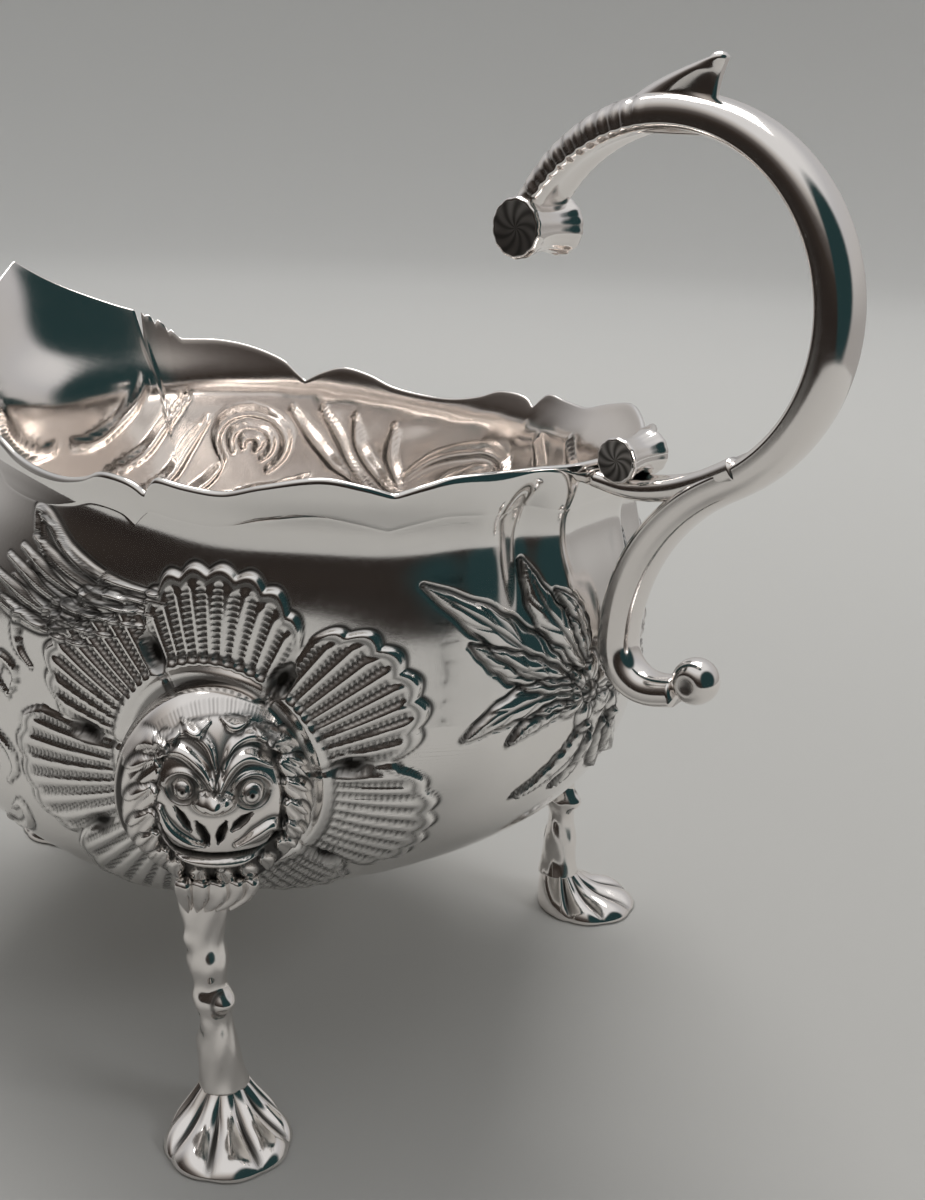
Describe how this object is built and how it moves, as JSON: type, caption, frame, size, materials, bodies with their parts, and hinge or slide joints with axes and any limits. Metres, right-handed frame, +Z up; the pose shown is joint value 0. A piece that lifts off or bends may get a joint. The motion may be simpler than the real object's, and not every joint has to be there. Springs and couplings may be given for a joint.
{
  "type": "footed sauce boat",
  "caption": "Footed sauce boat with a wavy rim, a pouring lip, a free-ended scroll handle with a thumb spur, and legs with beast masks and web feet.",
  "frame": {"origin": "centre of the bounding box, on the plane the feet stand on", "axes": "+X from the pouring lip to the handle, +Y across the bowl, +Z up"},
  "size_m": [0.168, 0.1134, 0.1532],
  "materials": {
    "silver": "polished, dark oxide in the chased lines",
    "cast_silver": "polished casting, dark oxide in the hollows"
  },
  "bodies": {
    "root": {"bowl": "silver", "handle_scroll": "cast_silver", "handle_rim_bracket": "cast_silver", "handle_thumb_spur": "cast_silver", "leg_handle_near": "cast_silver", "leg_handle_far": "cast_silver", "leg_lip": "cast_silver"}
  },
  "joints": []
}
